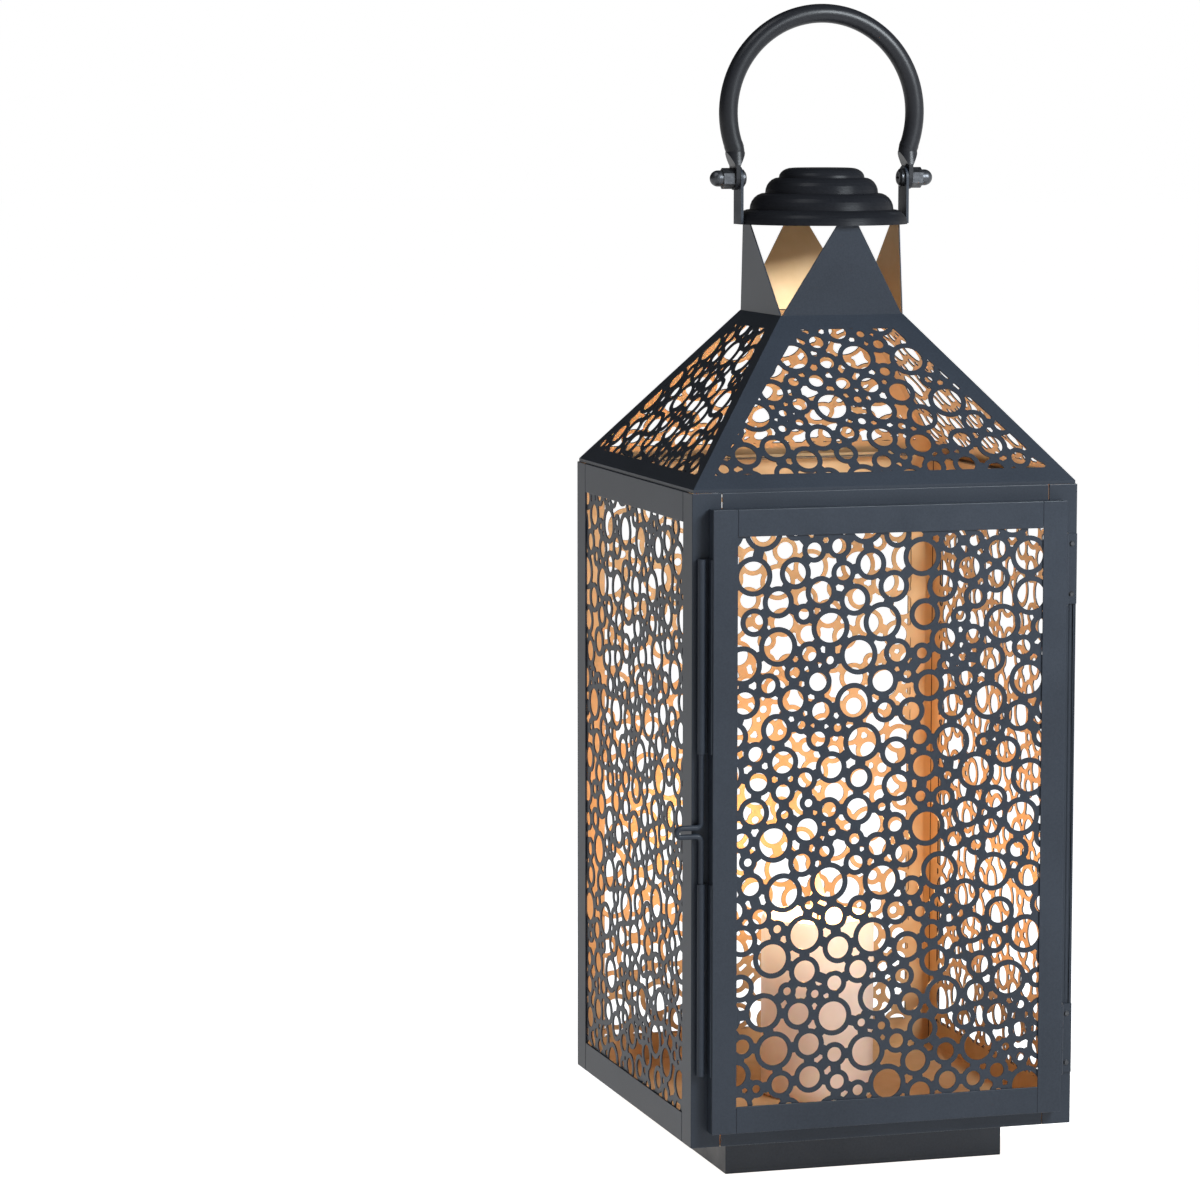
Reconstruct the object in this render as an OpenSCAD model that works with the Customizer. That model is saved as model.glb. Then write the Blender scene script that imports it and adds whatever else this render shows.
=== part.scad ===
// Square lantern in folded and laser-cut sheet steel, with a hinged door, a wire latch,
// a pyramid roof under a vented crown and a swinging ring handle. It holds a pillar candle.
// The origin is the centre of the foot's underside. The door is on the -Y side.

/* [Body] */
// Width and depth of the square body
body_w = 240; // [225:1:260]
// Height of the body between its bottom edge and the eave
body_h = 387; // [360:1:420]
// Width of the recessed foot
foot_w = 176; // [150:1:200]
// Height of the recessed foot
foot_h = 25; // [18:1:40]
// Visible width of the corner posts and rails
frame_w = 18; // [16:0.5:22]
// Thickness of the frame's folded sheet
frame_t = 1; // [0.8:0.1:1.4]
// Thickness of the laser-cut lace sheets
lace_t = 0.8; // [0.6:0.1:1.2]

/* [Lace pattern] */
// Random seed of the lace
lace_seed = 12; // [1:1:99]
// Width of the ring of metal around each round hole
ring_w = 3; // [2.6:0.1:3.4]
// Space between two neighbouring rings
ring_gap = 0.7; // [0.5:0.1:1.4]
// Width of the bridge between two neighbouring rings
bridge_w = 6.2; // [5:0.1:7]
// Widest space between two rings that is still bridged
bridge_reach = 3.7; // [3:0.1:4.5]

/* [Roof and crown] */
// Rise of the roof from the eave to its top edge
roof_rise = 96; // [80:1:110]
// Width of the roof's square top edge
roof_top_w = 80; // [74:1:90]
// Height of the crown petals, from the roof's top edge
petal_h = 57; // [50:1:60]
// Distance of a petal's tip from the axis
petal_tip_r = 48.6; // [46:0.1:49]
// Radius of the spun cap at its rim
cap_r = 52.2; // [50:0.1:56]
// Height of the cap's rim above the eave
cap_z = 151.7; // [150:0.1:153]

/* [Handle] */
// Radius of the handle ring, to the middle of its tube
ring_r = 59.7; // [57:0.1:62]
// Diameter of the handle's tube
tube_d = 11.4; // [9:0.1:12]
// Height of the handle's pivots above the eave
pivot_z = 179.3; // [176:0.1:184]
// Radius of the pivot screw's shank
screw_r = 3; // [2.5:0.1:3.2]

/* [Door] */
// Width of the door
door_w = 220; // [210:1:222]
// Distance from the body's front to the door's front face
door_rise = 9.4; // [8:0.1:11]
// Width of the door's stiles and rails
stile_w = 15; // [13:0.5:18]
// Gap between the body's bottom edge and the door
door_bottom = 9.5; // [8:0.5:12]
// Height of the hinge leaves
hinge_h = 42; // [36:1:50]
// Diameter of the latch rod
latch_d = 3.2; // [2.8:0.1:3.4]

/* [Candle] */
// Diameter of the pillar candle
candle_d = 70; // [60:1:80]
// Height of the pillar candle
candle_h = 112; // [80:1:150]

/* [Hidden] */

paint = "#4d5560";
bronze = "#a8733f";
wax = "#efe2d2";
steel = "#5d6268";
$fn = 48;

half = body_w / 2;
body_z = foot_h;
eave_z = body_z + body_h;
inner = half - frame_t;
seam = 0.4;
rail_len = body_w - 2 * frame_w - 2 * seam;
fold_w = 8;
panel_w = body_w - 12;
panel_z = body_z + frame_t;
panel_h = body_h - 2 * frame_t;

roof_run = half - roof_top_w / 2;
roof_slope = atan2(roof_rise, roof_run);
roof_len = norm([roof_rise, roof_run]);
roof_z = eave_z + 2;
roof_top_z = roof_z + roof_rise;
cap_rim_z = eave_z + cap_z;
pivot_height = eave_z + pivot_z;
ring_lift = 39.5;

// The handle stands on two tabs outside the bracket straps
strap_t = 1.6;
strap_w = 14.5;
strap_x = cap_r;
washer_gap = 0.25;
tab_t = 2.6;
tab_r = 7;
tab_x = strap_x + strap_t + washer_gap;
nut_x = tab_x + tab_t + washer_gap;
nut_flats = 11;
nut_h = 7;
nut_r = nut_flats / sqrt(3);
fit = 0.05;

// The door closes over the front frame and stands clear of it
door_gap = 0.4;
door_y = -half - door_rise;
door_back_y = -half - door_gap;
door_z = body_z + door_bottom;
door_h = body_h - door_bottom - 9;
door_x = door_w / 2;

hinge_x = door_x + 2.3;
hinge_y = -half - 2.3;
knuckle_r = 1.7;
knuckle_gap = 0.3;
knuckle_h = (hinge_h - 2 * knuckle_gap) / 3;
leaf_t = 0.9;
pin_r = 0.8;
hinge_zs = [body_z + 31.4, body_z + 315.4];
rivet_r = 1;
rivet_x = half - 3.4;
rivet_offset = 6;

latch_x = -door_x - 5;
latch_y = -half - 2.8;
latch_tube_r = 2.4;
latch_tube_h = 114;
latch_tube_zs = [body_z + 44, body_z + 235];
latch_loop_z = body_z + 189;
latch_loop_len = 15;
latch_loop_r = 2.6;
latch_bend_r = 3;

wick_r = 1.1;
wick_z = candle_h - 20;

// ---- Lace pattern: rings of mixed sizes, each placed beside two others ----

// Radii of the round holes, largest first
hole_sizes = [8.7, 6.5, 5.4, 4.4, 3.2, 2.4];
trials_per_area = 0.06;

// Rings of metal close to a point
function near(rings, p, reach) =
    [for (c = rings) if (abs(c[0] - p[0]) < reach && abs(c[1] - p[1]) < reach) c];

// Distance from a point to a ring's outer edge
function gap_to(p, c) = norm([p[0] - c[0], p[1] - c[1]]) - c[2];

// Number of the ring closest to a point, leaving out ring number skip
function closest(rings, p, skip = -1, k = 0, best = -1, gap = 1e3) =
    k == len(rings) ? best :
    let (g = k == skip ? 1e3 : gap_to(p, rings[k]))
    closest(rings, p, skip, k + 1, g < gap ? k : best, min(g, gap));

// Middle of a ring of radius r that stands next to rings a and b, on p's side, or p if there is none
function beside(a, b, r, p) =
    let (v = [b[0] - a[0], b[1] - a[1]], d = norm(v),
         ra = a[2] + r + ring_gap, rb = b[2] + r + ring_gap,
         along = (d * d + ra * ra - rb * rb) / (2 * d), square = ra * ra - along * along)
    square < 0 ? p :
    let (n = [-v[1], v[0]] / d, q = [a[0], a[1]] + v * along / d)
    q + n * sqrt(square) * ((p - q) * n > 0 ? 1 : -1);

function on_sheet(p, w, h) = p[0] > -4 && p[0] < w + 4 && p[1] > -4 && p[1] < h + 4;

// Room round a point for a ring, less a small allowance
function has_room(rings, p, r) = min([for (c = rings) gap_to(p, c)]) > r + ring_gap - 0.4;

// The largest ring, from size number k down, that fits beside rings a and b
function best_fit(rings, a, b, p, k, w, h) =
    k == len(hole_sizes) ? undef :
    let (r = hole_sizes[k] + ring_w, q = beside(a, b, r, p))
    q != p && on_sheet(q, w, h) && has_room(rings, q, r) ? [q[0], q[1], r] :
    best_fit(rings, a, b, p, k + 1, w, h);

// Large rings on a loose staggered grid
function large_rings(w, h, seed) =
    let (pitch = 35, nx = round(w / pitch), ny = round(h / pitch), shift = 0.22,
         j = rands(-shift, shift, 3 * (nx + 1) * (ny + 1), seed))
    [for (iy = [0:ny], ix = [0:nx - (iy % 2)])
        let (k = 3 * (iy * (nx + 1) + ix))
        [(ix + (iy % 2) / 2 + j[k]) * w / nx, (iy + j[k + 1]) * h / ny,
            ring_w + hole_sizes[j[k + 2] > 0 ? 0 : 1]]];

// Random trial points with a random first size, all as shares
function trials(n, seed) =
    let (v = rands(0, 1, 3 * n, seed)) [for (i = [0:n - 1]) [v[3 * i], v[3 * i + 1], v[3 * i + 2]]];

// At each trial point, adds a ring beside the two closest ones if one fits
function fill(rings, points, k, w, h) =
    k == len(points) ? rings :
    let (t = points[k], p = [t[0] * w, t[1] * h], close = near(rings, p, 40),
         i = closest(close, p), j = closest(close, p, i))
    len(close) < 2 || gap_to(p, close[i]) < 2 ? fill(rings, points, k + 1, w, h) :
    let (c = best_fit(close, close[i], close[j], p, floor(t[2] * 4), w, h))
    fill(c == undef ? rings : concat(rings, [c]), points, k + 1, w, h);

function packed(w, h, seed) =
    fill(large_rings(w, h, seed), trials(round(w * h * trials_per_area), seed + 1), 0, w, h);

function bridged(a, b) = norm([b[0] - a[0], b[1] - a[1]]) - a[2] - b[2] < bridge_reach;

// Rings that hold on to at least two others, so that nothing is cut loose
function joined(rings) = [for (a = rings) if (len([for (b = rings) if (bridged(a, b)) 1]) > 2) a];

module rings_outside(rings) {
    for (c = rings) translate([c[0], c[1]]) circle(r = c[2], $fn = 40);
}

module ring_bridges(rings) {
    for (i = [0:len(rings) - 1], k = [i + 1:1:len(rings) - 1])
        if (bridged(rings[i], rings[k])) {
            v = [rings[k][0] - rings[i][0], rings[k][1] - rings[i][1]];
            translate([rings[i][0], rings[i][1]]) rotate(atan2(v[1], v[0]))
                translate([0, -bridge_w / 2]) square([norm(v), bridge_w]);
        }
}

// A w x h sheet, outline points first, with lace inside the window and its origin at bottom centre
module lace_sheet(outline, window, w, h, seed) {
    rings = [for (c = joined(packed(w, h, seed))) [c[0] - w / 2, c[1], c[2]]];
    linear_extrude(lace_t) difference() {
        polygon(outline);
        intersection() {
            polygon(window);
            for (c = rings) translate([c[0], c[1]]) circle(r = c[2] - ring_w, $fn = 40);
        }
        difference() {
            polygon(window);
            rings_outside(rings);
            ring_bridges(rings);
        }
    }
}

function rectangle(w, z0, z1) = [[-w / 2, z0], [w / 2, z0], [w / 2, z1], [-w / 2, z1]];

// ---- Placing ----

// Turns a piece made for the front to side number 0 front, 1 right, 2 back, 3 left
module on_side(n) { rotate(90 * n) children(); }

// Mirrors a piece made for the +X side
module on_left() { mirror([1, 0, 0]) children(); }

// Stands a flat drawing upright, its face towards -Y at the given y
module upright(y) { translate([0, y, 0]) rotate([90, 0, 0]) children(); }

// ---- Base ----

module base_plinth() {
    color(paint) difference() {
        translate([-foot_w / 2, -foot_w / 2, 0]) cube([foot_w, foot_w, foot_h]);
        translate([-foot_w / 2 + frame_t, -foot_w / 2 + frame_t, frame_t])
            cube([foot_w - 2 * frame_t, foot_w - 2 * frame_t, foot_h]);
    }
}

module floor_pan() {
    color(bronze) translate([-inner, -inner, body_z]) cube([2 * inner, 2 * inner, frame_t]);
}

// ---- Frame ----

module bottom_rail() {
    color(paint) translate([-rail_len / 2, -half, body_z]) cube([rail_len, frame_t, frame_w]);
}

// The front rail has a lip that stiffens the doorway
module bottom_rail_with_lip() {
    bottom_rail();
    color(paint) translate([-rail_len / 2, -half, body_z + frame_w - frame_t])
        cube([rail_len, fold_w, frame_t]);
}

module top_rail() {
    color(paint) {
        translate([-rail_len / 2, -half, eave_z - frame_w]) cube([rail_len, frame_t, frame_w]);
        translate([-rail_len / 2, -half, eave_z - frame_t]) cube([rail_len, fold_w, frame_t]);
    }
}

module corner_post() {
    color(paint) difference() {
        translate([half - frame_w, -half, body_z]) cube([frame_w, frame_w, body_h]);
        translate([half - frame_w - 1, -inner, body_z - 1])
            cube([frame_w - frame_t + 1, frame_w, body_h + 2]);
    }
}

module hinge_corner_post() {
    difference() {
        corner_post();
        rivet_holes();
    }
}

module side_panel() {
    rail_cover = frame_w - 2;
    color(bronze) upright(-inner + lace_t) translate([0, panel_z, 0])
        lace_sheet(rectangle(panel_w, 0, panel_h),
            rectangle(panel_w - 2 * rail_cover + 12, rail_cover, panel_h - rail_cover),
            panel_w, panel_h, lace_seed);
}

// ---- Roof ----

// Vertical wedge between the two hips of the front side
module front_wedge() {
    linear_extrude(eave_z + 400) polygon([[0, 0], [-2 * body_w, -2 * body_w], [2 * body_w, -2 * body_w]]);
}

module roof_panel(seed) {
    edge = 10;
    bottom = half - 16;
    top = roof_top_w / 2 - 10;
    hem_inset = 1;
    color(bronze) intersection() {
        union() {
            translate([0, -half + hem_inset, roof_z]) rotate([roof_slope, 0, 0])
                translate([0, 0, -lace_t])
                lace_sheet([[-half, 0], [half, 0], [roof_top_w / 2, roof_len], [-roof_top_w / 2, roof_len]],
                    [[-bottom, edge], [bottom, edge], [top, roof_len - edge], [-top, roof_len - edge]],
                    body_w, roof_len, seed);
            translate([-half, -half + hem_inset, eave_z]) cube([body_w, lace_t, roof_z - eave_z]);
        }
        front_wedge();
    }
}

module crown_petal() {
    // The base stops short of the corner, clear of the next petal
    base = roof_top_w / 2 - 1;
    base_half = base - lace_t - 0.2;
    tip_half = 5;
    lean = petal_tip_r - base;
    tilt = atan2(petal_h, -lean);
    length = norm([petal_h, lean]);
    color(bronze) translate([0, -base, roof_top_z]) rotate([tilt, 0, 0]) translate([0, 0, -lace_t])
        linear_extrude(lace_t)
            polygon([[-base_half, 0], [base_half, 0], [tip_half, length], [-tip_half, length]]);
}

// Tiers of the spun cap: radius and height of each crease, rim first
cap_tiers = [[cap_r, 0], [cap_r - 8.5, 8.7], [cap_r - 17.9, 18.6], [cap_r - 26.2, 27.9],
    [cap_r - 34.5, 33.8]];

// Quarter-round bulges from the rim to the flat top, moved in by t
function cap_curve(t) = concat([for (i = [0:len(cap_tiers) - 2])
    let (a = cap_tiers[i], b = cap_tiers[i + 1])
    for (q = [0:15:90]) [b[0] + (a[0] - b[0]) * cos(q) - t, a[1] + (b[1] - a[1]) * sin(q) - t]]);

module top_cap() {
    wall = 1;
    outer = cap_curve(0);
    inside = [for (p = cap_curve(wall)) [p[0], max(p[1], 0)]];
    last = len(outer) - 1;
    color(paint) translate([0, 0, cap_rim_z]) rotate_extrude($fn = 96)
        polygon(concat(outer, [[0, outer[last][1]], [0, inside[last][1]]],
            [for (i = [last:-1:1]) inside[i]], [[cap_r - wall, 0]]));
}

// ---- Handle ----

module handle_bracket() {
    color(paint) difference() {
        union() {
            translate([strap_x, -strap_w / 2, cap_rim_z])
                cube([strap_t, strap_w, pivot_height - cap_rim_z]);
            translate([strap_x, 0, pivot_height]) rotate([0, 90, 0]) cylinder(h = strap_t, r = strap_w / 2);
        }
        translate([strap_x - 1, 0, pivot_height]) rotate([0, 90, 0])
            cylinder(h = strap_t + 2, r = screw_r + fit);
    }
}

module pivot_screw() {
    head_r = 5.4;
    head_h = 3;
    slot = 1.2;
    slot_depth = 1.4;
    shank = nut_x + nut_h - strap_x;
    color(steel) translate([strap_x, 0, pivot_height]) rotate([0, 90, 0]) difference() {
        union() {
            cylinder(h = shank, r = screw_r);
            translate([0, 0, -head_h * 0.6]) cylinder(h = head_h * 0.6, r = head_r);
            translate([0, 0, -head_h]) cylinder(h = head_h * 0.4, r1 = head_r * 0.72, r2 = head_r);
        }
        for (a = [0, 90]) rotate(a)
            translate([-head_r / 2, -slot / 2, -head_h - 1]) cube([head_r, slot, slot_depth + 1]);
    }
}

module cap_nut() {
    neck_h = 2.4;
    dome_r = nut_flats / 2 - 0.6;
    bore_h = nut_h + 0.6;
    color(steel) translate([nut_x, 0, pivot_height]) rotate([0, 90, 0]) difference() {
        union() {
            cylinder(h = nut_h, r = nut_r, $fn = 6);
            translate([0, 0, nut_h]) cylinder(h = neck_h, r = dome_r);
            translate([0, 0, nut_h + neck_h]) intersection() {
                sphere(r = dome_r);
                cylinder(h = nut_flats, r = nut_flats);
            }
        }
        translate([0, 0, -1]) cylinder(h = bore_h + 1, r = screw_r + fit);
    }
}

module carry_handle() {
    // The ring's ends bend back to hang upright; a thin sleeve joins each bend to the ring
    bend_r = 10;
    tab_mid = tab_x + tab_t / 2;
    sleeve_gap = 0.4;
    sleeve_h = 3;
    reach = norm([ring_r + bend_r, sleeve_gap]);
    turn = acos((tab_mid + bend_r) / reach) - atan2(sleeve_gap, ring_r + bend_r);
    drop = (ring_r + bend_r) * sin(turn) + sleeve_gap * cos(turn);
    ring_z = pivot_height + ring_lift;
    leg = 8;
    color(paint) {
        translate([0, 0, ring_z]) rotate([90, 0, 0]) rotate(-turn)
            rotate_extrude(angle = 180 + 2 * turn, $fn = 96) translate([ring_r, 0]) circle(d = tube_d);
        for (side = [0, 1]) mirror([side, 0, 0]) {
            translate([ring_r * cos(turn), 0, ring_z - ring_r * sin(turn)]) rotate([0, turn, 0])
                cylinder(h = sleeve_h, d = tube_d + 0.3, center = true);
            translate([tab_mid + bend_r, 0, ring_z - drop]) rotate([90, 0, 0]) rotate(180 - turn)
                rotate_extrude(angle = turn, $fn = 96) translate([bend_r, 0]) circle(d = tube_d);
            flat_tab(tab_mid, ring_z - drop, leg);
        }
    }
}

// The tube's end, squeezed flat over the length of the leg, with its pivot hole
module flat_tab(mid, top_z, leg) {
    // The leg reaches a little way up around the tube
    cuff = 0.8;
    top_r = tube_d / 2 + 0.15;
    wide = top_r + 0.2;
    difference() {
        union() {
            translate([mid, 0, top_z - leg]) intersection() {
                cylinder(h = leg + cuff, r1 = tab_r, r2 = top_r);
                upright(tab_r + 1) linear_extrude(2 * tab_r + 2)
                    polygon([[-tab_t / 2, 0], [tab_t / 2, 0], [wide, leg + cuff], [-wide, leg + cuff]]);
            }
            translate([tab_x, -tab_r, pivot_height])
                cube([tab_t, 2 * tab_r, top_z - leg - pivot_height + cuff]);
            translate([tab_x, 0, pivot_height]) rotate([0, 90, 0]) cylinder(h = tab_t, r = tab_r);
        }
        translate([tab_x - 1, 0, pivot_height]) rotate([0, 90, 0])
            cylinder(h = tab_t + 2, r = screw_r + fit);
    }
}

// ---- Hinges ----

module knuckle(z0, h, r) { translate([hinge_x, hinge_y, z0]) cylinder(h = h, r = r); }

module rivet_holes() {
    for (z = hinge_zs, dz = [rivet_offset, hinge_h - rivet_offset])
        translate([rivet_x, -half + 2, z + dz]) rotate([90, 0, 0]) cylinder(h = 6, r = rivet_r + fit);
}

// The post leaf has the two outer knuckles, the door leaf the middle one

module hinge_leaf_post(z) {
    leaf_start = 1.2;
    leaf_margin = 0.2;
    color(paint) difference() {
        union() {
            translate([hinge_x + leaf_start, -half - leaf_t, z])
                cube([half - leaf_margin - hinge_x - leaf_start, leaf_t, hinge_h]);
            for (dz = [0, hinge_h - knuckle_h]) {
                knuckle(z + dz, knuckle_h, knuckle_r);
                translate([hinge_x, -half - leaf_t, z + dz]) cube([leaf_start + 0.8, leaf_t, knuckle_h]);
            }
        }
        knuckle(z - 1, hinge_h + 2, pin_r + fit);
        rivet_holes();
    }
}

module hinge_leaf_door(z) {
    // The leaf stops short of the other leaf's knuckles
    leaf_back = 1.9;
    color(paint) difference() {
        union() {
            translate([door_x, door_y + frame_t, z])
                cube([leaf_t, hinge_y - leaf_back - door_y - frame_t, hinge_h]);
            translate([door_x, hinge_y - leaf_back - 0.1, z + knuckle_h + knuckle_gap])
                cube([leaf_t, leaf_back + 0.1, knuckle_h]);
            knuckle(z + knuckle_h + knuckle_gap, knuckle_h, knuckle_r);
        }
        knuckle(z - 1, hinge_h + 2, pin_r + fit);
    }
}

module hinge_pin(z) {
    play = 0.1;
    head_h = 0.8;
    head_r = 1.3;
    color(steel) {
        knuckle(z - play, hinge_h + 2 * play, pin_r);
        knuckle(z - play - head_h, head_h, head_r);
        knuckle(z + hinge_h + play, head_h, head_r);
    }
}

module hinge_rivets() {
    head_h = 0.7;
    length = frame_t + leaf_t;
    color(steel) for (z = hinge_zs, dz = [rivet_offset, hinge_h - rivet_offset])
        translate([rivet_x, -half + frame_t, z + dz]) rotate([90, 0, 0]) {
            cylinder(h = length, r = rivet_r);
            translate([0, 0, length]) cylinder(h = head_h, r1 = rivet_r + 0.8, r2 = rivet_r + 0.1);
        }
}

// ---- Door ----

module door_stile() {
    color(paint) {
        translate([door_x - stile_w, door_y, door_z]) cube([stile_w, frame_t, door_h]);
        translate([door_x - frame_t, door_y, door_z]) cube([frame_t, door_back_y - door_y, door_h]);
        for (z = [door_z, door_z + door_h - frame_t])
            translate([door_x - stile_w, door_y, z]) cube([stile_w, door_back_y - door_y, frame_t]);
    }
}

module door_rail(z, lip_z) {
    length = door_w - 2 * stile_w - seam;
    color(paint) {
        translate([-length / 2, door_y, z]) cube([length, frame_t, stile_w + 1]);
        translate([-length / 2, door_y, lip_z]) cube([length, door_back_y - door_y, frame_t]);
    }
}

module door_panel() {
    w = door_w - 2 * frame_t - 1;
    h = door_h - 2 * frame_t - 1;
    cover = stile_w - 2;
    color(paint) upright(door_y + frame_t + lace_t) translate([0, door_z + frame_t + 0.5, 0])
        lace_sheet(rectangle(w, 0, h), rectangle(w - 2 * cover + 4, cover, h - cover),
            w, h, lace_seed + 4);
}

// ---- Latch ----

module latch_tube(z) {
    leaf_t = 0.8;
    back = latch_y + latch_tube_r;
    color(paint) difference() {
        union() {
            translate([latch_x, latch_y, z]) cylinder(h = latch_tube_h, r = latch_tube_r);
            translate([latch_x, back - leaf_t, z]) cube([-door_x - latch_x, leaf_t, latch_tube_h]);
            translate([-door_x - leaf_t, door_y + frame_t, z])
                cube([leaf_t, back - door_y - frame_t, latch_tube_h]);
        }
        translate([latch_x, latch_y, z - 1]) cylinder(h = latch_tube_h + 2, r = latch_d / 2 + fit);
    }
}

// A quarter or half turn of wire, in the XZ plane
module wire_bend(r, from, angle) {
    rotate([90, 0, 0]) rotate(from) rotate_extrude(angle = angle) translate([r, 0]) circle(d = latch_d);
}

module latch_rod() {
    end_gap = 3;
    z_low = latch_tube_zs[0] + end_gap;
    z_high = latch_tube_zs[1] + latch_tube_h - end_gap;
    low_wire = latch_loop_z - latch_loop_r;
    high_wire = latch_loop_z + latch_loop_r;
    straight = latch_loop_len - latch_bend_r - latch_loop_r;
    color(paint) translate([latch_x, latch_y, 0]) {
        translate([0, 0, z_low]) cylinder(h = low_wire - latch_bend_r - z_low, d = latch_d);
        translate([0, 0, high_wire + latch_bend_r])
            cylinder(h = z_high - high_wire - latch_bend_r, d = latch_d);
        translate([-latch_bend_r, 0, low_wire - latch_bend_r]) wire_bend(latch_bend_r, 0, 90);
        translate([-latch_bend_r, 0, high_wire + latch_bend_r]) wire_bend(latch_bend_r, 270, 90);
        for (z = [low_wire, high_wire])
            translate([-latch_bend_r - straight, 0, z]) rotate([0, 90, 0])
                cylinder(h = straight, d = latch_d);
        translate([-latch_bend_r - straight, 0, latch_loop_z]) wire_bend(latch_loop_r, 90, 180);
    }
}

// ---- Candle ----

module candle() {
    r = candle_d / 2;
    rim = 3;
    pool = 5;
    bore_r = wick_r + fit;
    color(wax) translate([0, 0, body_z + frame_t]) rotate_extrude($fn = 96) polygon(concat(
        [[0, 0], [r - 1.5, 0], [r, 1.5]],
        [for (q = [0:15:90]) [r - rim + rim * cos(q), candle_h - rim + rim * sin(q)]],
        [for (q = [0:15:90]) [r - rim - 4 - pool * sin(q), candle_h - pool + pool * cos(q)]],
        [[bore_r, candle_h - pool - 1], [bore_r, wick_z], [0, wick_z]]));
}

module candle_wick() {
    above_wax = 12;
    color("#2c2622") translate([0, 0, body_z + frame_t + wick_z])
        cylinder(h = candle_h - 6 + above_wax - wick_z, r = wick_r);
}

base_plinth();
floor_pan();
bottom_rail_with_lip();  // bottom_rail_front
on_side(3) bottom_rail();  // bottom_rail_left
on_side(2) bottom_rail();  // bottom_rail_back
on_side(1) bottom_rail();  // bottom_rail_right
top_rail();  // top_rail_front
on_side(3) top_rail();  // top_rail_left
on_side(2) top_rail();  // top_rail_back
on_side(1) top_rail();  // top_rail_right
on_left() corner_post();  // corner_post_front_left
hinge_corner_post();  // corner_post_front_right
on_side(2) corner_post();  // corner_post_back_left
on_side(1) corner_post();  // corner_post_back_right
on_side(3) side_panel();  // side_panel_left
on_side(1) side_panel();  // side_panel_right
on_side(2) side_panel();  // side_panel_back
roof_panel(lace_seed + 8);  // roof_panel_front
on_side(3) roof_panel(lace_seed + 8);  // roof_panel_left
on_side(2) roof_panel(lace_seed + 8);  // roof_panel_back
on_side(1) roof_panel(lace_seed + 8);  // roof_panel_right
crown_petal();  // crown_petal_front
on_side(3) crown_petal();  // crown_petal_left
on_side(2) crown_petal();  // crown_petal_back
on_side(1) crown_petal();  // crown_petal_right
top_cap();
on_left() handle_bracket();  // handle_bracket_left
handle_bracket();  // handle_bracket_right
on_left() pivot_screw();  // pivot_screw_left
pivot_screw();  // pivot_screw_right
on_left() cap_nut();  // cap_nut_left
cap_nut();  // cap_nut_right
hinge_leaf_post(hinge_zs[1]);  // hinge_leaf_post_upper
hinge_leaf_post(hinge_zs[0]);  // hinge_leaf_post_lower
hinge_pin(hinge_zs[1]);  // hinge_pin_upper
hinge_pin(hinge_zs[0]);  // hinge_pin_lower
hinge_rivets();
candle();
candle_wick();
on_left() door_stile();  // door_stile_left
door_stile();  // door_stile_right
door_rail(door_z + door_h - stile_w - 1, door_z + door_h - frame_t);  // door_rail_top
door_rail(door_z, door_z);  // door_rail_bottom
door_panel();
hinge_leaf_door(hinge_zs[1]);  // hinge_leaf_door_upper
hinge_leaf_door(hinge_zs[0]);  // hinge_leaf_door_lower
latch_tube(latch_tube_zs[1]);  // latch_tube_upper
latch_tube(latch_tube_zs[0]);  // latch_tube_lower
latch_rod();
carry_handle();
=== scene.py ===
"""Square cut-metal lantern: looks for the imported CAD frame.

The door faces -Y. Every length is in metres, in the frame's own axes.
"""
import math

import bpy
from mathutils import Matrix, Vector, noise


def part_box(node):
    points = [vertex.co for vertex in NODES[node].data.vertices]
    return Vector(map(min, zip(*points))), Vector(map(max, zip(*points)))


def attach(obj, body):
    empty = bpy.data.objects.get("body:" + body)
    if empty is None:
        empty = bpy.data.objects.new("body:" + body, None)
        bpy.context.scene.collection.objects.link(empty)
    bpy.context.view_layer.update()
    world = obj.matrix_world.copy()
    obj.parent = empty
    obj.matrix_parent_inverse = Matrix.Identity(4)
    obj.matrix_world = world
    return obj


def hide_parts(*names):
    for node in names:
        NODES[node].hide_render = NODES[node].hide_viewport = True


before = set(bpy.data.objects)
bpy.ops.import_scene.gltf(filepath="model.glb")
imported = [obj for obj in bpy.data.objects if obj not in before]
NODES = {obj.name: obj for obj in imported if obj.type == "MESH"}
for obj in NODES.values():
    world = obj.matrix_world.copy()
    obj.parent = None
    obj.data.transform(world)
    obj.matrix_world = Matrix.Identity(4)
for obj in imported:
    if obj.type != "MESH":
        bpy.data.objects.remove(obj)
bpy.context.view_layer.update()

LANTERN = "lantern"

# ---- Camera and studio ----

CAMERA_AT = Vector((-0.899, -2.576, 0.643))
LENS = 134.0
HEADING = 16.41
PITCH = 6.485
FLOOR_RADIUS = 24.0
FLOOR_GLOW = 0.96
CEILING = 0.02
SHADE_SIDE = 0.12
BRIGHT_SIDE = Vector((0.55, -0.83, 0)).normalized()
KEY_AT = (0.65, -1.05, 1.08)
KEY_AIM = (0, 0, 0.5)
KEY_POWER = 36
FILL_AT = (-1.0, -0.5, 2.6)
FILL_AIM = (0, 0, 0.45)
FILL_POWER = 16

# ---- Finishes ----

CHARCOAL = (0.012, 0.0155, 0.022)
CHARCOAL_LIGHT = (0.019, 0.024, 0.033)
BLACK = (0.006, 0.0065, 0.008)
BLACK_LIGHT = (0.012, 0.0125, 0.015)
GOLD = (0.66, 0.46, 0.26)
GOLD_DARK = (0.55, 0.36, 0.18)
SHEEN = 0.2
CAP_SHEEN = 0.06
WALL_REACH = 0.11
FOLD_RADIUS = 0.0004

# ---- Candle ----

RIM_RADIUS = 0.0028
POOL_DEPTH = 0.0046
# How far below the candle's top the wax carries its painted glow, which stands for the flame's light.
PAINTED_GLOW_DEPTH = 0.045
WICK_RADIUS = 0.0009
FLAME_RADIUS = 0.0046
FLAME_BELOW = 0.006
FLAME_ABOVE = 0.020
FLAME_POWER = 0.7


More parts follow.
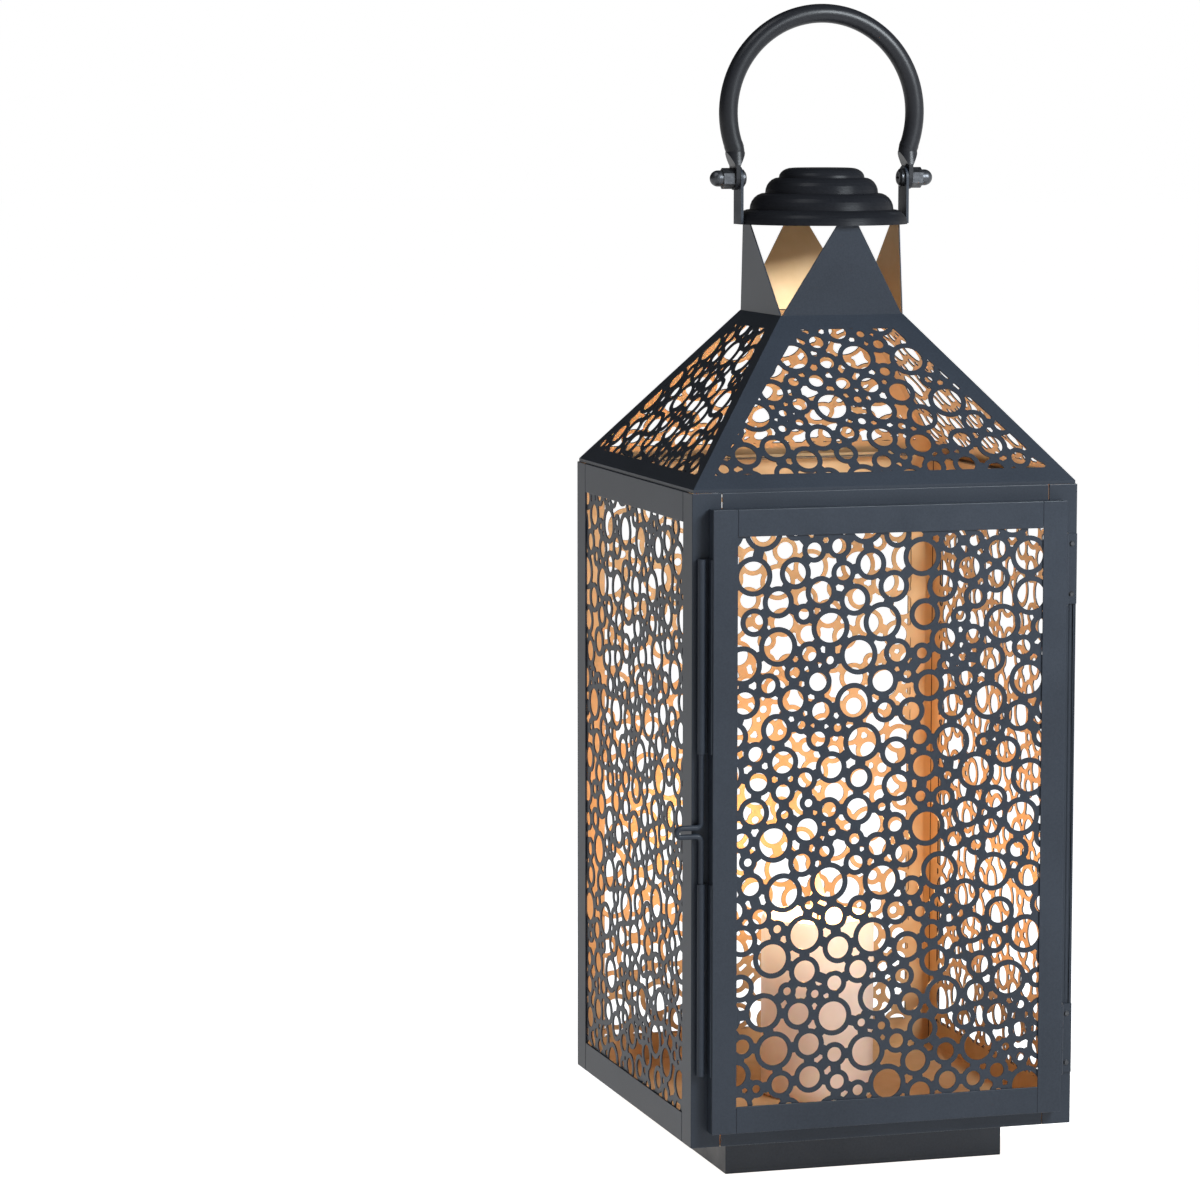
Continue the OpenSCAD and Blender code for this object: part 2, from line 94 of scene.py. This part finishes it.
def make_camera():
    """Stands at the lantern's front left, a little below its top, looking slightly down."""
    data = bpy.data.cameras.new("camera")
    data.lens = LENS
    data.clip_start, data.clip_end = 0.1, 60
    camera = bpy.data.objects.new("camera", data)
    bpy.context.scene.collection.objects.link(camera)
    camera.location = CAMERA_AT
    camera.rotation_euler = (math.radians(90 - PITCH), 0, math.radians(-HEADING))
    bpy.context.scene.camera = camera


def make_floor():
    """A wide round floor, pale, plain and partly self-lit so that it stays white."""
    mesh = bpy.data.meshes.new("floor")
    corners = 96
    turns = [2 * math.pi * i / corners for i in range(corners)]
    ring = [(FLOOR_RADIUS * math.cos(turn), FLOOR_RADIUS * math.sin(turn), 0) for turn in turns]
    mesh.from_pydata(ring, [], [list(range(corners))])
    floor = bpy.data.objects.new("floor", mesh)
    bpy.context.scene.collection.objects.link(floor)
    mat, nodes, links, shader = new_material("floor_paper")
    shader.inputs["Base Color"].default_value = (0.55, 0.55, 0.55, 1)
    shader.inputs["Roughness"].default_value = 1
    shader.inputs["Emission Color"].default_value = (1, 1, 1, 1)
    shader.inputs["Emission Strength"].default_value = FLOOR_GLOW
    mesh.materials.append(mat)


def area_light(name, place, target, size, power, color):
    """A soft lamp that looks at the target and that the camera can't see."""
    data = bpy.data.lights.new(name, "AREA")
    data.shape = "RECTANGLE"
    data.size, data.size_y = size
    data.energy = power
    data.color = color
    light = bpy.data.objects.new(name, data)
    bpy.context.scene.collection.objects.link(light)
    light.location = place
    light.visible_camera = False
    light.rotation_euler = (Vector(target) - Vector(place)).to_track_quat("-Z", "Y").to_euler()


def make_world():
    """Plain white to the camera; to all else, light from the front right under a dark ceiling."""
    world = bpy.data.worlds.new("studio")
    bpy.context.scene.world = world
    world.use_nodes = True
    nodes, links = world.node_tree.nodes, world.node_tree.links
    background = nodes["Background"]
    where = nodes.new("ShaderNodeTexCoord")
    parts = nodes.new("ShaderNodeSeparateXYZ")
    links.new(where.outputs["Generated"], parts.inputs[0])
    upward = remap(nodes, links, parts.outputs["Z"], 1, CEILING, (0.1, 0.5))
    toward = nodes.new("ShaderNodeVectorMath")
    toward.operation = "DOT_PRODUCT"
    toward.inputs[1].default_value = BRIGHT_SIDE
    links.new(where.outputs["Generated"], toward.inputs[0])
    sideways = remap(nodes, links, toward.outputs["Value"], SHADE_SIDE, 1, (-0.4, 0.6))
    product = nodes.new("ShaderNodeMath")
    product.operation = "MULTIPLY"
    links.new(upward, product.inputs[0])
    links.new(sideways, product.inputs[1])
    ray = nodes.new("ShaderNodeLightPath")
    seen = blend_colors(nodes, links, ray.outputs["Is Camera Ray"], product.outputs[0], (1, 1, 1))
    links.new(seen, background.inputs["Color"])
    background.inputs["Strength"].default_value = 1.0


def make_studio():
    """A soft light in front to the right and a weaker, wider one high on the left."""
    make_world()
    area_light("key", KEY_AT, KEY_AIM, (0.6, 0.45), KEY_POWER, (0.88, 0.95, 1.0))
    area_light("fill", FILL_AT, FILL_AIM, (1.0, 1.0), FILL_POWER, (0.95, 0.97, 1.0))
    bpy.context.scene.view_settings.view_transform = "Standard"


# ---- Materials ----

def new_material(name):
    """A material with its nodes, links and shader."""
    mat = bpy.data.materials.new(name)
    mat.use_nodes = True
    tree = mat.node_tree
    return mat, tree.nodes, tree.links, tree.nodes["Principled BSDF"]


def noise_node(nodes, links, scale, detail=3.0):
    """Noise fixed to the piece, its scale in features a metre."""
    where = nodes.new("ShaderNodeTexCoord")
    tex = nodes.new("ShaderNodeTexNoise")
    tex.inputs["Scale"].default_value = scale
    tex.inputs["Detail"].default_value = detail
    links.new(where.outputs["Object"], tex.inputs["Vector"])
    return tex.outputs["Fac"]


def remap(nodes, links, value, low, high, source=(0.3, 0.7)):
    """Stretches a value from the source range to low..high."""
    node = nodes.new("ShaderNodeMapRange")
    node.inputs["From Min"].default_value, node.inputs["From Max"].default_value = source
    node.inputs["To Min"].default_value, node.inputs["To Max"].default_value = low, high
    links.new(value, node.inputs["Value"])
    return node.outputs["Result"]


def blend_colors(nodes, links, factor, first, second):
    """Mixes two colours, each a tuple or a socket."""
    node = nodes.new("ShaderNodeMix")
    node.data_type = "RGBA"
    links.new(factor, node.inputs["Factor"])
    for socket, color in ((node.inputs[6], first), (node.inputs[7], second)):
        if isinstance(color, tuple):
            socket.default_value = (*color, 1)
        else:
            links.new(color, socket)
    return node.outputs[2]


def add_bump(nodes, links, shader, height, strength, distance):
    """Fine relief from a height value, the distance in metres."""
    node = nodes.new("ShaderNodeBump")
    node.inputs["Strength"].default_value = strength
    node.inputs["Distance"].default_value = distance
    links.new(height, node.inputs["Height"])
    links.new(node.outputs["Normal"], shader.inputs["Normal"])


def powder_color(nodes, links, dark, light):
    """Powder-coat colour: slow patches with a fine grain over them."""
    patches = remap(nodes, links, noise_node(nodes, links, 14), 0, 0.7)
    grain = remap(nodes, links, noise_node(nodes, links, 900, 2), 0, 0.5)
    total = nodes.new("ShaderNodeMath")
    total.operation = "ADD"
    links.new(patches, total.inputs[0])
    links.new(grain, total.inputs[1])
    return blend_colors(nodes, links, total.outputs[0], dark, light)


def powder_coat(name, dark, light, roughness=(0.38, 0.5), peel=0.25):
    """Powder coat of one colour, with a slight orange peel."""
    mat, nodes, links, shader = new_material(name)
    links.new(powder_color(nodes, links, dark, light), shader.inputs["Base Color"])
    rough = remap(nodes, links, noise_node(nodes, links, 60), *roughness)
    links.new(rough, shader.inputs["Roughness"])
    shader.inputs["Specular IOR Level"].default_value = SHEEN
    add_bump(nodes, links, shader, noise_node(nodes, links, 1400, 2), peel, 0.00015)
    return mat


def facing(nodes, links, outward):
    """How far a surface faces outward, from -1 inside to 1 outside, fixed to the piece."""
    where = nodes.new("ShaderNodeTexCoord")
    dot = nodes.new("ShaderNodeVectorMath")
    dot.operation = "DOT_PRODUCT"
    dot.inputs[1].default_value = outward
    links.new(where.outputs["Normal"], dot.inputs[0])
    return dot.outputs["Value"]


def beyond(nodes, links, value, limit):
    """1 where the value is over the limit, else 0."""
    node = nodes.new("ShaderNodeMath")
    node.operation = "GREATER_THAN"
    node.inputs[1].default_value = limit
    links.new(value, node.inputs[0])
    return node.outputs[0]


def inner_plane(nodes, links):
    """1 on upright faces that look inward from the body's walls, fixed to the piece."""
    where = nodes.new("ShaderNodeTexCoord")
    product = nodes.new("ShaderNodeVectorMath")
    product.operation = "MULTIPLY"
    links.new(where.outputs["Object"], product.inputs[0])
    links.new(where.outputs["Normal"], product.inputs[1])
    parts = nodes.new("ShaderNodeSeparateXYZ")
    links.new(product.outputs["Vector"], parts.inputs[0])
    lowest = nodes.new("ShaderNodeMath")
    lowest.operation = "MINIMUM"
    links.new(parts.outputs["X"], lowest.inputs[0])
    links.new(parts.outputs["Y"], lowest.inputs[1])
    flipped = nodes.new("ShaderNodeMath")
    flipped.operation = "MULTIPLY"
    flipped.inputs[1].default_value = -1
    links.new(lowest.outputs[0], flipped.inputs[0])
    return beyond(nodes, links, flipped.outputs[0], WALL_REACH)


def two_tone(name, outward=None):
    """Charcoal powder coat outside and on the cut edges, bronze-gold paint on the inside face."""
    mat, nodes, links, shader = new_material(name)
    if outward is None:
        inside = inner_plane(nodes, links)
    else:
        inside = remap(nodes, links, facing(nodes, links, outward), 1, 0, (-0.8, -0.5))
    coat = powder_color(nodes, links, CHARCOAL, CHARCOAL_LIGHT)
    gold_noise = remap(nodes, links, noise_node(nodes, links, 35, 5), 0, 1)
    gold = blend_colors(nodes, links, gold_noise, GOLD_DARK, GOLD)
    links.new(blend_colors(nodes, links, inside, coat, gold), shader.inputs["Base Color"])
    links.new(remap(nodes, links, inside, 0.42, 0.5, (0, 1)), shader.inputs["Roughness"])
    links.new(remap(nodes, links, inside, 0.0, 0.35, (0, 1)), shader.inputs["Metallic"])
    shader.inputs["Specular IOR Level"].default_value = SHEEN
    add_bump(nodes, links, shader, noise_node(nodes, links, 1100, 2), 0.25, 0.00015)
    return mat


def bronze_paint(name):
    """The paint of the inside, on a node that shows nothing else."""
    mat, nodes, links, shader = new_material(name)
    gold_noise = remap(nodes, links, noise_node(nodes, links, 35, 5), 0, 1)
    links.new(blend_colors(nodes, links, gold_noise, GOLD_DARK, GOLD), shader.inputs["Base Color"])
    shader.inputs["Metallic"].default_value = 0.35
    links.new(remap(nodes, links, noise_node(nodes, links, 80), 0.42, 0.55), shader.inputs["Roughness"])
    add_bump(nodes, links, shader, noise_node(nodes, links, 1100, 2), 0.25, 0.00015)
    return mat


def spun_coat(name, dark, light):
    """Satin black with faint rings round the Z axis, as spinning leaves them."""
    mat, nodes, links, shader = new_material(name)
    shader.inputs["Specular IOR Level"].default_value = CAP_SHEEN
    links.new(powder_color(nodes, links, dark, light), shader.inputs["Base Color"])
    where = nodes.new("ShaderNodeTexCoord")
    rings = nodes.new("ShaderNodeTexWave")
    rings.wave_type = "RINGS"
    rings.rings_direction = "Z"
    rings.inputs["Scale"].default_value = 260
    rings.inputs["Distortion"].default_value = 1.5
    links.new(where.outputs["Object"], rings.inputs["Vector"])
    add_bump(nodes, links, shader, rings.outputs["Fac"], 0.08, 0.0001)
    links.new(remap(nodes, links, noise_node(nodes, links, 90), 0.26, 0.36), shader.inputs["Roughness"])
    return mat


def dark_steel(name):
    """Blackened fasteners, a little worn."""
    mat, nodes, links, shader = new_material(name)
    shade = remap(nodes, links, noise_node(nodes, links, 400), 0, 1)
    links.new(blend_colors(nodes, links, shade, (0.03, 0.032, 0.036), (0.07, 0.072, 0.078)),
              shader.inputs["Base Color"])
    shader.inputs["Metallic"].default_value = 0.7
    links.new(remap(nodes, links, noise_node(nodes, links, 700), 0.3, 0.45), shader.inputs["Roughness"])
    add_bump(nodes, links, shader, noise_node(nodes, links, 1500, 2), 0.15, 0.0001)
    return mat


def candle_wax(name, top):
    """Cream wax with a painted glow, warmer towards its top, that stands for the flame's light in the
    wax.
    """
    mat, nodes, links, shader = new_material(name)
    where = nodes.new("ShaderNodeTexCoord")
    parts = nodes.new("ShaderNodeSeparateXYZ")
    links.new(where.outputs["Object"], parts.inputs[0])
    painted_wax_glow = remap(nodes, links, parts.outputs["Z"], 0, 1, (top - PAINTED_GLOW_DEPTH, top))
    mottled = remap(nodes, links, noise_node(nodes, links, 45, 4), 0, 1)
    wax = blend_colors(nodes, links, mottled, (0.84, 0.68, 0.57), (0.91, 0.78, 0.67))
    links.new(wax, shader.inputs["Base Color"])
    shader.inputs["Subsurface Weight"].default_value = 0.35
    shader.inputs["Subsurface Radius"].default_value = (0.012, 0.006, 0.003)
    shader.inputs["Roughness"].default_value = 0.42
    # Painted light: this emission, strongest at the top, stands for the flame's light glowing through
    # the wax.
    shader.inputs["Emission Color"].default_value = (1.0, 0.74, 0.44, 1)
    links.new(remap(nodes, links, painted_wax_glow, 0, 0.55, (0, 1)), shader.inputs["Emission Strength"])
    add_bump(nodes, links, shader, noise_node(nodes, links, 120, 4), 0.2, 0.0004)
    return mat


def flame_glow(name, low, high):
    """Pale yellow a little below the middle, orange at the foot and the tip."""
    mat, nodes, links, shader = new_material(name)
    where = nodes.new("ShaderNodeTexCoord")
    parts = nodes.new("ShaderNodeSeparateXYZ")
    links.new(where.outputs["Object"], parts.inputs[0])
    height = remap(nodes, links, parts.outputs["Z"], 0, 1, (low, high))
    ramp = nodes.new("ShaderNodeValToRGB")
    ramp.color_ramp.elements[0].color = (1.0, 0.30, 0.05, 1)
    ramp.color_ramp.elements[1].color = (1.0, 0.36, 0.08, 1)
    core = ramp.color_ramp.elements.new(0.4)
    core.color = (1.0, 0.66, 0.26, 1)
    links.new(height, ramp.inputs["Fac"])
    links.new(ramp.outputs["Color"], shader.inputs["Emission Color"])
    shader.inputs["Base Color"].default_value = (1.0, 0.6, 0.3, 1)
    shader.inputs["Emission Strength"].default_value = 2.2
    return mat


def charred_cotton(name):
    """Burnt cotton, nearly black."""
    mat, nodes, links, shader = new_material(name)
    shade = remap(nodes, links, noise_node(nodes, links, 1500), 0, 1)
    links.new(blend_colors(nodes, links, shade, (0.015, 0.012, 0.01), (0.09, 0.07, 0.055)),
              shader.inputs["Base Color"])
    shader.inputs["Roughness"].default_value = 0.9
    add_bump(nodes, links, shader, noise_node(nodes, links, 2500), 0.5, 0.0003)
    return mat


# ---- CAD nodes ----

def set_material(node, mat):
    """Gives the node one material, in every slot that it has."""
    materials = NODES[node].data.materials
    if not materials:
        materials.append(mat)
    for i in range(len(materials)):
        materials[i] = mat


def round_edges(node, width, segments=2):
    """Folded sheet has no sharp edges: joins the imported faces and rounds them a little."""
    piece = NODES[node]
    weld = piece.modifiers.new("join", "WELD")
    weld.merge_threshold = 0.00001
    bevel = piece.modifiers.new("fold", "BEVEL")
    bevel.width = width
    bevel.segments = segments
    bevel.limit_method = "ANGLE"
    bevel.angle_limit = math.radians(40)
    bevel.harden_normals = False


def outward_of(node):
    """The way a sheet's outer face looks, from its side of the body."""
    side = {"front": Vector((0, -1, 0)), "left": Vector((-1, 0, 0)),
            "back": Vector((0, 1, 0)), "right": Vector((1, 0, 0))}
    flat = side[node.rsplit("_", 1)[1]]
    low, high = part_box(node)
    if node.startswith("roof_panel"):
        run = (high - low).dot(Vector(map(abs, flat)))
        rise = high.z - low.z
        return (flat * rise + Vector((0, 0, run))).normalized()
    return (flat - Vector((0, 0, 0.15))).normalized()


ROUNDED = ("corner_post", "top_rail", "bottom_rail", "door_stile", "door_rail", "base_plinth")


def dress_cad():
    """Gives every CAD node its material, and rounds the edges of the folded ones."""
    frame_coat = powder_coat("frame_coat", CHARCOAL, CHARCOAL_LIGHT)
    handle_coat = powder_coat("handle_coat", BLACK, BLACK_LIGHT, (0.3, 0.38), 0.08)
    cap_coat = spun_coat("cap_coat", BLACK, BLACK_LIGHT)
    steel = dark_steel("dark_steel")
    bronze = bronze_paint("bronze_paint")
    wall = two_tone("wall_sheet")
    for node in sorted(NODES):
        if node.startswith(("roof_panel", "crown_petal")):
            set_material(node, two_tone("sheet_" + node, outward_of(node)))
        elif node.startswith(("side_panel", "door_panel", "corner_post", "top_rail", "bottom_rail")):
            set_material(node, wall)
        elif node == "floor_pan":
            set_material(node, bronze)
        elif node == "top_cap":
            set_material(node, cap_coat)
        elif node == "carry_handle":
            set_material(node, handle_coat)
        elif node.startswith(("pivot_screw", "cap_nut", "hinge_pin", "hinge_rivets")):
            set_material(node, steel)
        else:
            set_material(node, frame_coat)
        if node.startswith(ROUNDED):
            round_edges(node, FOLD_RADIUS)


# ---- Candle, wick and flame ----

def lathe(name, profile, mat, body, turns=96, wobble=None):
    """Spins (radius, height) points round the Z axis into a closed smooth mesh."""
    points = []
    for radius, height in profile:
        for i in range(turns):
            angle = 2 * math.pi * i / turns
            point = Vector((radius * math.cos(angle), radius * math.sin(angle), height))
            points.append(point if wobble is None else wobble(point))
    rows = len(profile)
    faces = []
    for row in range(rows - 1):
        this, above = row * turns, (row + 1) * turns
        for i in range(turns):
            after = (i + 1) % turns
            faces.append((this + i, this + after, above + after, above + i))
    faces.append(tuple(reversed(range(turns))))
    faces.append(tuple((rows - 1) * turns + i for i in range(turns)))
    mesh = bpy.data.meshes.new(name)
    mesh.from_pydata(points, [], faces)
    mesh.materials.append(mat)
    piece = bpy.data.objects.new(name, mesh)
    bpy.context.scene.collection.objects.link(piece)
    mesh.shade_smooth()
    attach(piece, body)
    return piece


def arc(centre_r, centre_z, radius, start, end, steps):
    """Points of a round stretch, angles in degrees from +R towards +Z."""
    return [(centre_r + radius * math.cos(math.radians(start + (end - start) * i / steps)),
             centre_z + radius * math.sin(math.radians(start + (end - start) * i / steps)))
            for i in range(steps + 1)]


def make_candle():
    """A pillar with a rounded rim round a shallow pool. Returns the pool's height."""
    low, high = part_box("candle")
    radius = (high.x - low.x) / 2
    skin = 0.0002
    wall_rows = 12
    wall_h = high.z - low.z - 0.006
    pool_z = high.z - POOL_DEPTH
    foot = [(0.001, low.z), (radius - 0.0015, low.z), (radius - 0.0004, low.z + 0.0012)]
    wall = [(radius - skin, low.z + wall_h * i / wall_rows) for i in range(1, wall_rows + 1)]
    rim = arc(radius - RIM_RADIUS - skin, high.z - RIM_RADIUS - skin, RIM_RADIUS, 0, 90, 6)
    bank = [(radius - 0.0068, high.z - 0.0012), (radius - 0.0085, pool_z + 0.0008)]
    pool = [(radius - 0.011, pool_z), (radius * 0.4, pool_z - 0.0004), (0.003, pool_z), (0.001, pool_z)]

    def wobble(p):
        """Lowers the top's surface a little, unevenly."""
        if p.z > high.z - 0.02:
            soft = noise.noise(p * 60) * 0.0009
            return Vector((p.x, p.y, p.z - abs(soft)))
        return p

    profile = foot + wall + rim + bank + pool
    candle = lathe("candle_wax_body", profile, candle_wax("candle_wax", high.z), LANTERN, 128, wobble)
    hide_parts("candle")
    return pool_z


def make_wick(pool_z):
    """A short, nearly straight wick. Returns the height of its top."""
    low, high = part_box("candle_wick")
    curve = bpy.data.curves.new("wick_curve", "CURVE")
    curve.dimensions = "3D"
    curve.bevel_depth = WICK_RADIUS
    curve.bevel_resolution = 4
    curve.use_fill_caps = True
    line = curve.splines.new("BEZIER")
    path = [(0, 0, pool_z - 0.001), (0.0002, 0, pool_z + 0.005), (0.0001, 0.0001, high.z - 0.0012)]
    line.bezier_points.add(len(path) - 1)
    for point, place in zip(line.bezier_points, path):
        point.co = place
        point.handle_left_type = point.handle_right_type = "AUTO"
    wick = bpy.data.objects.new("charred_wick", curve)
    bpy.context.scene.collection.objects.link(wick)
    curve.materials.append(charred_cotton("charred_cotton"))
    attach(wick, LANTERN)
    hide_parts("candle_wick")
    return high.z


def make_flame(wick_top):
    """A still flame round the wick's top, wider low down."""
    low, high = wick_top - FLAME_BELOW, wick_top + FLAME_ABOVE
    steps = 22
    profile = []
    for i in range(steps + 1):
        t = i / steps
        width = FLAME_RADIUS * math.sin(math.pi * t ** 0.62) ** 0.9
        profile.append((max(width, 0.00015), low + (high - low) * t))
    flame = lathe("flame", profile, flame_glow("flame_glow", low, high), LANTERN, 40)
    flame.visible_shadow = False
    make_flame_light((low + high) / 2 + 0.004)


def make_flame_light(height):
    """The warm lamp that stands for the flame's light."""
    data = bpy.data.lights.new("flame_light", "POINT")
    data.energy = FLAME_POWER
    data.color = (1.0, 0.52, 0.2)
    data.shadow_soft_size = 0.006
    light = bpy.data.objects.new("flame_light", data)
    bpy.context.scene.collection.objects.link(light)
    light.location = (0, 0, height)


make_camera()
make_studio()
make_floor()
dress_cad()
wax_pool_z = make_candle()
wick_top_z = make_wick(wax_pool_z)
make_flame(wick_top_z)
